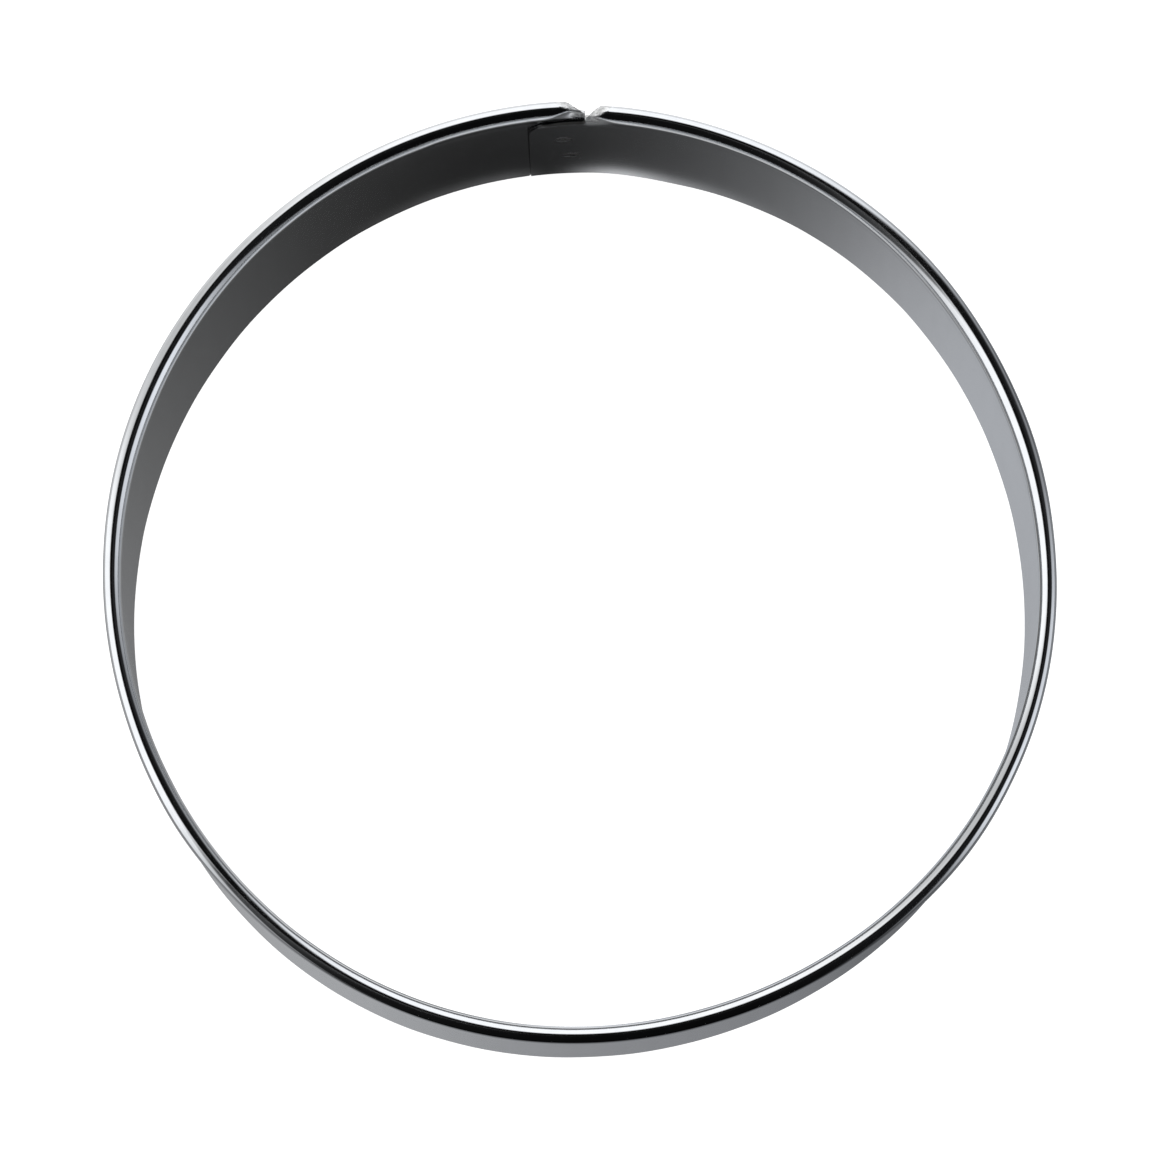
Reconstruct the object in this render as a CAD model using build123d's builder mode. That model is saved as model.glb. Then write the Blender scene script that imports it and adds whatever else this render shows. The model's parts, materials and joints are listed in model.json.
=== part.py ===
from build123d import *
from build123d.topology import SkipClean
import os
from math import acos, cos, degrees, radians, sin

# Round biscuit cutter, standing on its cutting edge with its rolled hem at the top.
# One strip of stainless sheet is rolled outwards along its top edge, bent into a ring,
# and joined by a lap: its inner end, a plain tongue, lies inside its outer end, and two
# spot welds hold them. The hem is notched at the join, so that only flat sheet is doubled.
# Origin: centre of the ring, on the plane of the cutting edge. +Z runs up to the hem,
# and the join faces +Y.

# Driving dimensions, in millimetres
ring_diameter = 80.0      # across the outside of the wall
ring_height = 22.0        # cutting edge to crest of the hem
sheet_thickness = 0.3
hem_width = 1.6           # outside of the rolled hem, across the sheet's line
hem_height = 1.5          # the same upwards: the roll is pressed slightly flat
hem_clearance = 0.1       # from the rolled edge back to the wall
lap_length = 4.9          # how far the tongue reaches inside the outer end
lap_clearance = 0.05      # between the two layers of the lap
butt_clearance = 0.1      # between the outer end and the hem that it meets
tongue_headroom = 0.15    # from the tongue's top edge, at its root, to the hem's root
tongue_fall = 0.8         # how much lower its top edge lies at its tip
tongue_corner = 1.2       # radius of its top corner
notch_reach_outer = 1.8   # notch in the hem, along the hem of the outer end
notch_reach_inner = 1.4   # the same on the other side of the join
notch_floor = 0.1         # metal left outside the wall at the bottom of the notch
weld_diameter = 1.5
weld_dimple = 0.06        # depth of the electrode's dimple in each face
cut_overrun = 1.0         # how far a cutting shape runs past what it cuts

# Places of the two welds: shares of the lap from the outer end, and of the height
weld_lap_shares = {"spot_weld_upper": 0.40, "spot_weld_lower": 0.27}
weld_height_shares = {"spot_weld_upper": 0.66, "spot_weld_lower": 0.36}
dimple_width_share = 0.86

# Sizes that follow from them
QUARTER = 90
half_sheet = sheet_thickness / 2
line_radius = ring_diameter / 2 - half_sheet     # middle of the sheet
lap_step = sheet_thickness + lap_clearance       # inner layer inside outer layer
half_hem_width = hem_width / 2
half_hem_height = hem_height / 2
hem_centre_out = half_hem_width - half_sheet     # from the middle of the wall
hem_centre_up = ring_height - half_hem_height
join_radius = line_radius - lap_step             # middle of the inner layer
tongue_height = hem_centre_up - tongue_headroom

os.makedirs("parts", exist_ok=True)


def section_plane(x, y, along):
    """Plane across the strip at one point of its line, local x outwards and local y up."""
    return Plane(origin=(x, y, 0), x_dir=Vector(0, 0, 1).cross(Vector(*along)), z_dir=along)


def plain_section(plane):
    """Section of the tongue: flat sheet."""
    with BuildSketch(plane) as section:
        with Locations((-half_sheet, 0)):
            Rectangle(sheet_thickness, tongue_height, align=(Align.MIN, Align.MIN))
    return section.sketch


def hemmed_section(plane):
    """Section of wall and hem: up the wall, over the top and round again to the wall."""
    centre = (hem_centre_out, hem_centre_up)
    with BuildSketch(plane) as section:
        with BuildLine():
            wall_inside = Line((-half_sheet, 0), (-half_sheet, hem_centre_up))
            hem_outside = EllipticalCenterArc(
                centre, half_hem_width, half_hem_height, 2 * QUARTER, arc_size=-hem_turn
            )
            hem_inside = EllipticalCenterArc(
                centre, half_core_width, half_core_height, 2 * QUARTER, arc_size=-hem_turn
            )
            Line(hem_outside @ 1, hem_inside @ 1)
            wall_outside = Line(hem_inside @ 0, (half_sheet, 0))
            Line(wall_outside @ 1, wall_inside @ 0)
        make_face()
    return section.sketch


# How far round the sheet is rolled before its edge comes back to the wall
edge_across = half_sheet + hem_clearance - hem_centre_out
hem_turn = 2 * QUARTER + degrees(acos(edge_across / half_hem_width))
half_core_width = half_hem_width - sheet_thickness
half_core_height = half_hem_height - sheet_thickness

# The strip's line, seen from above, runs anticlockwise from its outer end. Three quarters
# of it are round the origin. The last quarter is round an axis moved by one lap step,
# which brings the strip inside its own start without a kink.
inner_axis = Axis((lap_step, 0, 0), (0, 0, 1))

# The tongue: flat sheet, its top edge under the hem and falling towards a round corner
tongue_turn = degrees(lap_length / join_radius)
tongue_reach = (join_radius - half_sheet) * sin(radians(tongue_turn))
with BuildPart() as tongue:
    root = plain_section(section_plane(0, join_radius, (1, 0, 0)))
    revolve(root, axis=Axis.Z, revolution_arc=tongue_turn)
    extrude(root, amount=butt_clearance)
    with BuildSketch(Plane.XZ) as side:
        with BuildLine():
            Polyline(
                (-tongue_reach, 0),
                (butt_clearance, 0),
                (butt_clearance, tongue_height),
                (-tongue_reach, tongue_height - tongue_fall),
                close=True,
            )
        make_face()
        fillet(side.vertices().group_by(Axis.X)[0].sort_by(Axis.Y)[-1], tongue_corner)
    extrude(amount=ring_diameter, both=True, mode=Mode.INTERSECT)


def weld_plane(name):
    """Plane in the middle of the lap at one weld, its normal pointing outwards."""
    turn = radians(QUARTER) + weld_lap_shares[name] * lap_length / line_radius
    outwards = Vector(cos(turn), sin(turn), 0)
    middle = outwards * (line_radius - lap_step / 2)
    height = weld_height_shares[name] * ring_height
    return Plane(origin=(middle.X, middle.Y, height), x_dir=(0, 0, 1), z_dir=outwards)


# The band is made of runs of one section. The runs beside the join reach just past the
# notch, so that the notch touches no other run.
join_turn = degrees((notch_reach_outer + cut_overrun) / line_radius)
weld_radius = weld_diameter / 2
half_lap = (lap_step + sheet_thickness) / 2
with SkipClean(), BuildPart() as band:
    outer_end = hemmed_section(section_plane(0, line_radius, (1, 0, 0)))
    turned = 0
    for run in (join_turn, QUARTER - join_turn, QUARTER, QUARTER):
        revolve(outer_end.rotate(Axis.Z, turned), axis=Axis.Z, revolution_arc=run)
        turned += run
    last_quarter = hemmed_section(section_plane(line_radius, 0, (0, -1, 0)))
    turned = 0
    for run in (QUARTER - join_turn, join_turn):
        revolve(last_quarter.rotate(inner_axis, turned), axis=inner_axis, revolution_arc=run)
        turned += run
    inner_end = hemmed_section(section_plane(butt_clearance, join_radius, (1, 0, 0)))
    extrude(inner_end, amount=lap_step - butt_clearance)
    add(tongue.part)

    # The notch through the hem, a V that opens outwards from each side of the join
    outer_floor = line_radius + half_sheet + notch_floor
    inner_floor = join_radius + half_sheet + notch_floor
    outer_rim = line_radius + hem_width
    inner_rim = join_radius + hem_width
    with BuildSketch(Plane.XY.offset(ring_height - hem_height - cut_overrun)):
        with BuildLine():
            Polyline(
                (0, outer_floor),
                (-notch_reach_outer, outer_rim),
                (-notch_reach_outer, outer_rim + cut_overrun),
                (notch_reach_inner, outer_rim + cut_overrun),
                (notch_reach_inner, inner_rim),
                (butt_clearance, inner_floor),
                close=True,
            )
        make_face()
    extrude(amount=hem_height + 2 * cut_overrun, mode=Mode.SUBTRACT)

    # A round hole through both layers for each weld
    for name in weld_lap_shares:
        with BuildSketch(weld_plane(name)):
            Circle(weld_radius)
        extrude(amount=half_lap + cut_overrun, both=True, mode=Mode.SUBTRACT)

band.part.label = "band"
export_step(band.part, "parts/band.step")

# Each weld is a nugget that fills the hole through both layers, dimpled at each end
dimple_chord = weld_radius * dimple_width_share
dimple_sphere = (dimple_chord ** 2 + weld_dimple ** 2) / (2 * weld_dimple)
dimple_away = half_lap + dimple_sphere - weld_dimple
for name in weld_lap_shares:
    with BuildPart() as weld:
        with BuildSketch(weld_plane(name)):
            Circle(weld_radius)
        extrude(amount=half_lap, both=True)
        for away in (-dimple_away, dimple_away):
            with Locations(weld_plane(name).offset(away).location):
                Sphere(dimple_sphere, mode=Mode.SUBTRACT)
    weld.part.label = name
    export_step(weld.part, f"parts/{name}.step")
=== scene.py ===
import json
import math

import bpy
import numpy as np
from mathutils import Matrix, Vector


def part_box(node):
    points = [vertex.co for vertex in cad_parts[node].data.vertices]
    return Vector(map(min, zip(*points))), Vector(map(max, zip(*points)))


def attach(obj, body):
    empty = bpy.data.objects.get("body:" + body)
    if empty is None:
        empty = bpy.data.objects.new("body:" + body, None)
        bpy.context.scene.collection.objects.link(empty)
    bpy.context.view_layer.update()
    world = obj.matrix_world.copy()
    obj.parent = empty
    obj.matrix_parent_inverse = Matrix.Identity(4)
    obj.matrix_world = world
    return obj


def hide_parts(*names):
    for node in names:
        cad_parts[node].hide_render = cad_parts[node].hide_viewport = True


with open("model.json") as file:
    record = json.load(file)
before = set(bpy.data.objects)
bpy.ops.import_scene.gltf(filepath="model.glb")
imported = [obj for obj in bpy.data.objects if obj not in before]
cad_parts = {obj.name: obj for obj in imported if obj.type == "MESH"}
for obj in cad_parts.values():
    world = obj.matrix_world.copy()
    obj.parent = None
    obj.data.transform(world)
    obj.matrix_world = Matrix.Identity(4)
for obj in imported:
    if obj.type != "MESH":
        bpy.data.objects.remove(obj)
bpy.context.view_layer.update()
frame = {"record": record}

bl_info = {
    "name": "Rolled ring cutter",
    "version": (1, 0, 0),
    "blender": (4, 5, 0),
    "location": "3D View > Sidebar > Cutter",
    "description": "Round pastry cutter made of one strip of sheet steel, with its studio",
    "category": "Add Mesh",
}

# Everything is in metres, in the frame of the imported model: the ring stands on its cutting
# edge round the origin, +Z runs up to the hem and the join faces +Y.
MM = 0.001
FULL = 2 * math.pi
QUARTER = math.pi / 2
BAND_LOW, BAND_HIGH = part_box("band")
HEIGHT = BAND_HIGH.z - BAND_LOW.z
FINISHES = {m["slot"]: m["base_color"] for m in frame["record"]["materials"]}

# The hem: its roll's last part, past the underside, its steps, and those softened into one
HEM_CLOSE, HEM_STEPS, HEM_SOFT = math.radians(62), 1200, 61
# How far from the join its swell fades, and how soon the lap is pressed out past the tip
JOIN_REACH, JOGGLE_RUN = math.radians(13), math.radians(0.18)
# Waves of rim and foot: how many go round, cosine part and sine part
RIM_WAVES = ((1, 0.0, 0.0), (2, 0.2, -1.2), (3, 1.5, -0.8), (4, 0.3, 0.9), (5, -0.3, -0.2))
FOOT_WAVES = ((1, -0.9, -0.4), (2, 0.8, 1.9), (3, 2.2, 0.1), (4, -0.8, 0.7), (5, -0.3, -0.2))
# Where the roll stands out further: degrees from the join and of spread, and millimetres
HEM_STRAYS = ((48, 17, 0.30), (73, 10, 0.20), (-68, 20, 0.26), (-123, 9, 0.20), (125, 8, 0.14))
# Ripples of the wall: how many go round, radians that they start at, radians that they are
# shifted by from foot to crest, and share of the height
RIPPLES = ((23, 1.1, 0, 1.0), (37, 0, 4, 0.7))
# How near the join there are none, the stretch over which they set in, and the hem's share
RIPPLE_STILL, RIPPLE_FADE, HEM_RIPPLE = 2 * MM, 14 * MM, 0.4
# How far from the notch's flank the hem is moved, and how fast the flank gets ragged
NOTCH_FADE, RAG_RISE = 5 * MM, 6
# A ragged line: its waves, radians per millimetre of the longest, and radians per seed
RAG_WAVES, RAG_PITCH, RAG_SHIFT = 4, 5.617, 2.3
# How far the torn look reaches, in reaches of the crimp, and how far down the wall
TORN_REACH, TORN_FALL = 1.55, 0.4 * MM
# Width of the edge under the notch that is as dark as the lap
ROOT_EDGE = 0.01 * MM
# Slope of the sheet from which on, and over which, it is as polished as the hem
POLISH_FROM, POLISH_OVER = 0.05, 0.5
# Powers of the bell curves of the lean, on the outer and on the inner end
FLARE_POWERS = (4, 2)

# The strip's grid. Steps that a spacing is summed up in
GRADE_STEPS = 6000
# Cells from the middle of a weld's hole to its rim, and to where the grid is square again
HOLE_CELLS, FADE_CELLS = 4, 6
# Columns: close up to here from the join, wide from here on, and their width there
NEAR_JOIN, FAR_JOIN, WIDE_CELL = 5.5 * MM, 10 * MM, 0.72 * MM
# Rows: at the foot, in the wall, above the upper weld, at the lean, at the tongue's top, hem
FOOT_CELL, WALL_CELL, UPPER_CELL = 0.3 * MM, 1.2 * MM, 0.7 * MM
LEAN_CELL, ROOT_CELL, HEM_CELL = 0.4 * MM, 0.16 * MM, 0.15 * MM
# How far above the foot and above the upper weld they have the next height
FOOT_REACH, UPPER_REACH = 1.6 * MM, 0.8 * MM
# How far down the slope of the tongue's top edge is felt, in corners
STILL_CORNERS = 4

# Edges that turn by more than this are worn, and points closer than that are one
WORN_ANGLE, JOINED_GAP = math.radians(75), 0.00001 * MM
# The weld in shares of its hole's radius: its own, where the dimple ends, where the lip lies
# and how wide it is, and where the rim starts to fall
WELD_FIT, DIMPLE_END, LIP_PLACE, LIP_WIDTH, RIM_FROM = 0.998, 0.82, 0.88, 0.07, 0.94
LIP_HEIGHT, RIM_FALL = 0.005 * MM, 0.01 * MM

# Features of the steel per metre: grain and streaks along and up the sheet, drag in X, Y, Z
GRAIN, STREAKS, DRAG = (60, 9000, 1), (700, 60, 1), (5200, 5200, 700)
CLOUD, SMUDGE, FACETS, BLOOM, PITS = 160, 420, 2700, 1500, 5200
# What a noise hardly leaves
NOISE_RANGE = (0.3, 0.7)
# How much brighter the sheet is than the record's colour
SHEET_LIFT = 1.08


def maker(kind, scale=1, **fixed):
    """A function that makes a kind of property from label, text and default."""

    def make(label, text, default):
        return kind(name=label, description=text, default=default * scale, **fixed)

    return make


# Lengths are given in millimetres and angles in degrees, and kept in metres and radians
number = maker(bpy.props.FloatProperty)
focus = maker(bpy.props.FloatProperty, unit="CAMERA")
length = maker(bpy.props.FloatProperty, MM, precision=5, unit="LENGTH")
angle = maker(bpy.props.FloatProperty, math.pi / 180, subtype="ANGLE")
share = maker(bpy.props.FloatProperty, min=0, max=1, subtype="FACTOR")
colour = maker(bpy.props.FloatVectorProperty, size=3, min=0, max=1, subtype="COLOR")


class CutterSheet(bpy.types.PropertyGroup):
    """Sizes of the strip that the ring is made of."""

    thickness: length("Sheet", "Thickness of the sheet", 0.3)
    hem_width: length("Hem width", "Outside of the hem, across the wall", 1.6)
    hem_height: length("Hem height", "Outside of the hem, upwards", 1.5)
    height: length("Height", "Cutting edge to crest of the hem", HEIGHT / MM)
    lap: length("Lap", "Reach of the tongue inside the outer end", 4.9)
    lap_clearance: length("Lap gap", "Between the two layers of the lap", 0.05)
    butt: length("Butt", "Between the outer end and the hem that it meets", 0.03)
    headroom: length("Headroom", "From the tongue's top edge to the hem's middle", 0.55)
    tongue_fall: length("Tongue fall", "How much lower the top edge is at the tip", 0.8)
    tongue_corner: length("Tongue corner", "Reach of the round top corner", 1.2)
    tongue_drop: length("Corner drop", "How far down that corner reaches", 2.4)
    notch_left: length("Notch, outer end", "Its reach along the outer end", 1.8)
    notch_right: length("Notch, inner end", "Its reach on the other side", 1.4)
    notch_floor: length("Notch floor", "Metal left outside the wall in the notch", 0.1)
    edge_round: length("Edge round", "Wear along the cut edges", 0.022)
    shoulder_bend: length("Shoulder bend", "Radius from the wall into the shoulder", 0.45)
    shoulder: angle("Shoulder", "Slope of the hem's inner side, from upright", 34)
    shoulder_run: length("Shoulder run", "Length of the straight of the shoulder", 0.30)
    crest_bend: length("Crest bend", "Radius from the shoulder to the crest", 0.60)
    under_bend: length("Under bend", "Radius round the hem's underside", 0.58)
    edge_bend: length("Edge bend", "Radius where the edge comes back to the wall", 0.50)
    flare_left: length("Lean, outer end", "How far it leans out", 0.60)
    flare_right: length("Lean, inner end", "How far it leans out", 0.55)
    reach_left: length("Lean reach, outer end", "How far along it the lean fades", 2.6)
    reach_right: length("Lean reach, inner end", "How far along it the lean fades", 2.0)
    flare_depth: length("Lean depth", "From the crest down to where the lean starts", 2.0)
    flare_rise: length("Lean rise", "Height over which the top leans out", 1.70)
    flare_soft: length("Lean softness", "How softly the hem rises out of the lean", 0.06)
    swell: length("Swell", "How far the rim stands out at the join", 0.18)
    joggle: length("Joggle", "How far the foot is pressed out along the lap", 0.31)
    crimp_reach: length("Crimp reach", "How much of each hem end is crushed", 1.15)
    crimp: share("Crimp", "How flat the hem is crushed at the cut", 0.62)
    burr: length("Burr", "How ragged the cut ends are", 0.05)
    unround: length("Unroundness", "How far the ring leaves the circle", 0.10)
    ripple: length("Ripple", "Height of the soft waves in the wall", 0.012)


class CutterWelds(bpy.types.PropertyGroup):
    """Sizes and places of the two spot welds."""

    diameter: length("Weld", "Diameter of each weld", 1.5)
    dimple: length("Dimple", "Depth of the electrode's mark", 0.025)
    upper_along: share("Upper, along", "Its place, as a share of the lap", 0.40)
    upper_up: share("Upper, up", "Its place, as a share of the height", 0.66)
    lower_along: share("Lower, along", "Its place, as a share of the lap", 0.27)
    lower_up: share("Lower, up", "Its place, as a share of the height", 0.36)
    heat_reach: length("Heat reach", "How far its heat has tinted the sheet", 1.6)


class CutterFinish(bpy.types.PropertyGroup):
    """Colours and gloss of the steel."""

    steel: colour(
        "Steel", "Colour of the rolled sheet", [c * SHEET_LIFT for c in FINISHES["rolled_steel"]]
    )
    weld: colour("Weld", "Colour of the pressed weld marks", FINISHES["weld_steel"])
    cut: colour("Cut metal", "Colour of the sheared edges", (0.90, 0.90, 0.89))
    straw: colour("Straw tint", "Tint that the weld's heat leaves", (0.62, 0.56, 0.46))
    wall_gloss: share("Wall roughness", "Roughness of the wall's cold-rolled face", 0.20)
    hem_gloss: share("Hem roughness", "Roughness of the hem, polished by the rollers", 0.09)
    cut_gloss: share("Cut roughness", "Roughness of the torn metal of the cut ends", 0.50)


class CutterStudio(bpy.types.PropertyGroup):
    """Camera and light."""

    focal: focus("Lens", "Focal length on a 36 mm sensor", 293.2)
    distance: length("Distance", "Camera to the point that it looks at", 840.0)
    tilt: angle("Tilt", "Camera's line away from straight down", 9.423)
    swing: angle("Swing", "Tilt's direction, against the picture's upright", 1.57)
    turn: angle("Turn", "Turn of the whole camera about the ring's axis", 0.72)
    aim_right: length("Aim right", "Where the camera looks, to the right", -0.032)
    aim_up: length("Aim up", "Where the camera looks, upwards in the picture", 2.789)
    daylight: number("Daylight", "Strength of the soft light from all round", 0.85)
    softbox: number("Softboxes", "Brightness of the softboxes, where 1 is white", 1.5)


def smooth(x):
    """Smooth step: 0 up to x = 0, 1 from x = 1, and 3 x squared minus 2 x cubed between."""
    x = np.clip(x, 0, 1)
    return x * x * (3 - 2 * x)


def graded(stops):
    """Positions from the first stop to the last, closer where the spacing is smaller.

    A stop is a place and its spacing, which changes evenly between the stops. A position
    lies wherever the integral of one over the spacing is whole, its total being rounded.
    """
    places, spacings = zip(*stops)
    fine = np.linspace(places[0], places[-1], GRADE_STEPS)
    density = 1 / np.interp(fine, places, spacings)
    pieces = (density[1:] + density[:-1]) / 2 * np.diff(fine)
    count = np.concatenate(([0], np.cumsum(pieces)))
    steps = max(1, round(count[-1]))
    return np.interp(np.linspace(0, count[-1], steps + 1), count, fine)


class Strip:
    """The strip's measures that follow from its sizes, and its middle surface."""

    def __init__(self, sheet, welds):
        self.sheet = sheet
        self.welds = welds
        self.half = sheet.thickness / 2
        self.radius = BAND_HIGH.x - (sheet.hem_width - sheet.thickness) - self.half
        self.step = sheet.thickness + sheet.lap_clearance
        self.inner_radius = self.radius - self.step
        self.three_quarters = 3 * QUARTER * self.radius
        self.round = self.three_quarters + QUARTER * self.inner_radius
        self.closed = self.round + self.step
        self.hem_end = self.closed - sheet.butt
        self.end = self.closed + sheet.lap
        self.tip = -sheet.lap / self.inner_radius
        self.hem_out = (sheet.hem_width - sheet.thickness) / 2
        self.hem_centre = sheet.height - sheet.hem_height / 2
        self.tongue_top = self.hem_centre - sheet.headroom
        self.bend()

    def line(self, along):
        """Point of the strip's line seen from above, and its outward direction.

        From the outer end on +Y it runs anticlockwise: three quarters of a turn round the
        origin, a quarter round an axis one lap step aside, a straight bit of that length,
        and the tongue round the origin again, one lap step further in.
        """
        runs = [along < self.three_quarters, along < self.round, along < self.closed]
        first = QUARTER + along / self.radius
        last = (along - self.three_quarters) / self.inner_radius
        tongue = QUARTER + (along - self.closed) / self.inner_radius
        turned = np.select(runs, [first, last, QUARTER], tongue)
        radius = np.where(runs[0], self.radius, self.inner_radius)
        out = np.stack([np.cos(turned), np.sin(turned)], -1)
        point = out * radius[..., None]
        point[..., 0] += np.select(runs, [0.0, self.step, self.closed - along], 0.0)
        return point, out

    def turn_at(self, along):
        """Turn clockwise from the join, from minus to plus half a turn."""
        past_half = along > math.pi * self.radius
        return (np.where(past_half, self.closed, 0) - along) / self.radius

    def bend(self):
        """Works out the hem's section from its bends.

        The sheet turns from upright to the shoulder's slope, runs straight, turns on to the
        crest, the outermost point, the underside and back to the wall. The slope at each
        distance is softened, and its sine and cosine are summed outwards and upwards.
        """
        s = self.sheet
        slope = s.shoulder
        lean = s.shoulder_bend * (1 - math.cos(slope)) + s.shoulder_run * math.sin(slope)
        rise = s.shoulder_bend * math.sin(slope) + s.shoulder_run * math.cos(slope)
        lean += s.crest_bend * math.cos(slope)
        rise += s.crest_bend * (1 - math.sin(slope))
        outer_bend = s.hem_width - s.thickness - lean
        self.hem_start = s.height - self.half - rise
        bends = [
            (slope, s.shoulder_bend * slope),
            (slope, s.shoulder_run),
            (QUARTER, s.crest_bend * (QUARTER - slope)),
            (2 * QUARTER, outer_bend * QUARTER),
            (3 * QUARTER, s.under_bend * QUARTER),
            (3 * QUARTER + HEM_CLOSE, s.edge_bend * HEM_CLOSE),
        ]
        ends = np.cumsum([0] + [run for _, run in bends])
        self.roll_run = np.linspace(0, ends[-1], HEM_STEPS)
        turn = np.interp(self.roll_run, ends, [0] + [slope for slope, _ in bends])
        window = np.ones(HEM_SOFT) / HEM_SOFT
        padded = np.pad(turn, HEM_SOFT // 2, mode="reflect", reflect_type="odd")
        padded[: HEM_SOFT // 2] = 0
        self.roll_turn = np.convolve(padded, window, mode="valid")[:HEM_STEPS]
        step = self.roll_run[1]
        self.roll_out = np.cumsum(np.sin(self.roll_turn)) * step
        self.roll_up = np.cumsum(np.cos(self.roll_turn)) * step
        self.roll_out -= self.roll_out[0]
        self.roll_out *= (s.hem_width - s.thickness) / self.roll_out.max()
        self.roll_up += s.height - self.half - self.hem_start - self.roll_up.max()
        self.top = self.hem_start + ends[-1]

    def section(self, up):
        """Place across the strip for each distance up the sheet: outwards, upwards, slope."""
        run = up - self.hem_start
        out = np.interp(run, self.roll_run, self.roll_out, left=0)
        rolled = self.hem_start + np.interp(run, self.roll_run, self.roll_up)
        roll = np.interp(run, self.roll_run, self.roll_turn, left=0)
        return out, np.where(run > 0, rolled, up), roll

    def bulge(self, turn, height):
        """How far the ring stands out of the circle, by the turn clockwise from the join.

        Rim and foot each have a few waves round the ring, and the wall runs evenly between.
        At the join the foot is pressed out along the lap and the rim swells.
        """

        def shape(waves):
            terms = ((c * np.cos(n * turn), s * np.sin(n * turn)) for n, c, s in waves)
            return self.sheet.unround * sum(part for term in terms for part in term)

        up = height / self.sheet.height
        lap = smooth((turn - self.tip + JOGGLE_RUN) / JOGGLE_RUN) * smooth(1 - turn / JOIN_REACH)
        foot = shape(FOOT_WAVES) + self.sheet.joggle * lap
        rim = shape(RIM_WAVES) + self.sheet.swell * np.exp(-((turn / JOIN_REACH) ** 2))
        return foot * (1 - up) + rim * up

    def inner_face(self, turn):
        """Radius of the foot's inner face at each turn, tongue and last quarter included."""
        face = self.radius - self.half + self.bulge(turn, 0)
        on_tongue = (turn <= 0) & (turn > self.tip)
        last_quarter = (turn > 0) & (turn < QUARTER)
        step = np.where(on_tongue, 1, np.where(last_quarter, 1 - np.sin(turn), 0))
        return face - self.step * step

    def weld_places(self):
        """Each weld's name, its two places along the strip and its height."""
        w = self.welds
        places = {"upper": (w.upper_along, w.upper_up), "lower": (w.lower_along, w.lower_up)}
        found = []
        for name, (along, up) in places.items():
            outer = along * self.sheet.lap
            inner = self.closed + outer * self.inner_radius / self.radius
            found.append((name, (outer, inner), up * self.sheet.height))
        return found


def weld_holes(along, up, strip):
    """Opens a round hole in the grid for each weld, and says which cells to leave out.

    Round the grid corner nearest to the weld's centre the grid's square loops are drawn into
    circles. Loop number HOLE_CELLS is the hole's rim, and loop FADE_CELLS is square again.
    """
    cut = np.zeros((along.shape[0] - 1, along.shape[1] - 1), bool)
    rows, columns = np.indices(along.shape)
    square_along, square_up = along.copy(), up.copy()
    radius = strip.welds.diameter / 2
    for _, spots, height in strip.weld_places():
        row = np.argmin(np.abs(square_up[:, 0] - height))
        for spot in spots:
            column = np.argmin(np.abs(square_along[row] - spot))
            a, b = columns - column, rows - row
            loop = np.maximum(np.abs(a), np.abs(b))
            near = (loop <= FADE_CELLS) & (loop > 0)
            wide = np.abs(a) >= np.abs(b)
            turn = np.where(wide, b, a) / np.maximum(loop, 1) * math.pi / 4
            side = np.sign(np.where(wide, a, b))
            reach = radius * loop / HOLE_CELLS
            back = smooth((loop - HOLE_CELLS) / (FADE_CELLS - HOLE_CELLS))
            round_along = spot + reach * np.where(wide, np.cos(turn) * side, np.sin(turn))
            round_up = height + reach * np.where(wide, np.sin(turn), np.cos(turn) * side)
            along = np.where(near, round_along * (1 - back) + square_along * back, along)
            up = np.where(near, round_up * (1 - back) + square_up * back, up)
            cut |= np.maximum(loop[1:, 1:], loop[:-1, :-1]) <= HOLE_CELLS
    return along, up, cut


def strip_grid(strip):
    """Grid of places on the flat sheet: along the strip, up the sheet, and which cells exist.

    Columns are close at the join and closest where the foot steps out over the tongue's
    tip. Rows are close at the welds, at the lean and in the hem, which the tongue hasn't.
    """
    s = strip.sheet
    cell = strip.welds.diameter / 2 / HOLE_CELLS
    step = s.lap * strip.radius / strip.inner_radius
    columns = [(0, cell), (step - 3 * cell, cell), (step - cell, cell / 4), (step + cell, cell / 4)]
    columns += [(step + 3 * cell, cell), (NEAR_JOIN + 2 * cell, cell), (FAR_JOIN, WIDE_CELL)]
    columns += [(strip.hem_end - FAR_JOIN, WIDE_CELL), (strip.hem_end - NEAR_JOIN, cell)]
    hemmed = graded(columns + [(strip.hem_end, cell)])
    corner = strip.end - s.tongue_corner
    tongue = graded([(strip.hem_end, cell), (corner, cell), (strip.end, cell / 2)])
    heights = {name: height for name, _, height in strip.weld_places()}
    reach = cell * (FADE_CELLS + 1)
    rows = [(0, FOOT_CELL), (FOOT_REACH, WALL_CELL)]
    for name, past, high in (("lower", WALL_CELL, WALL_CELL), ("upper", UPPER_REACH, UPPER_CELL)):
        low, top = heights[name] - reach, heights[name] + reach
        rows += [(low - WALL_CELL, WALL_CELL), (low, cell), (top, cell), (top + past, high)]
    rows += [(strip.tongue_top - s.flare_depth, LEAN_CELL), (strip.tongue_top, ROOT_CELL)]
    wall = graded(rows)
    hem = graded([(strip.tongue_top, HEM_CELL), (strip.top, HEM_CELL)])
    along, up = np.meshgrid(np.append(hemmed, tongue[1:]), np.append(wall, hem[1:]))
    cells = np.ones((along.shape[0] - 1, along.shape[1] - 1), bool)
    cells[len(wall) - 1 :, len(hemmed) - 1 :] = False
    along, up, cut = weld_holes(along, up, strip)
    return along, up, cells & ~cut


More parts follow.
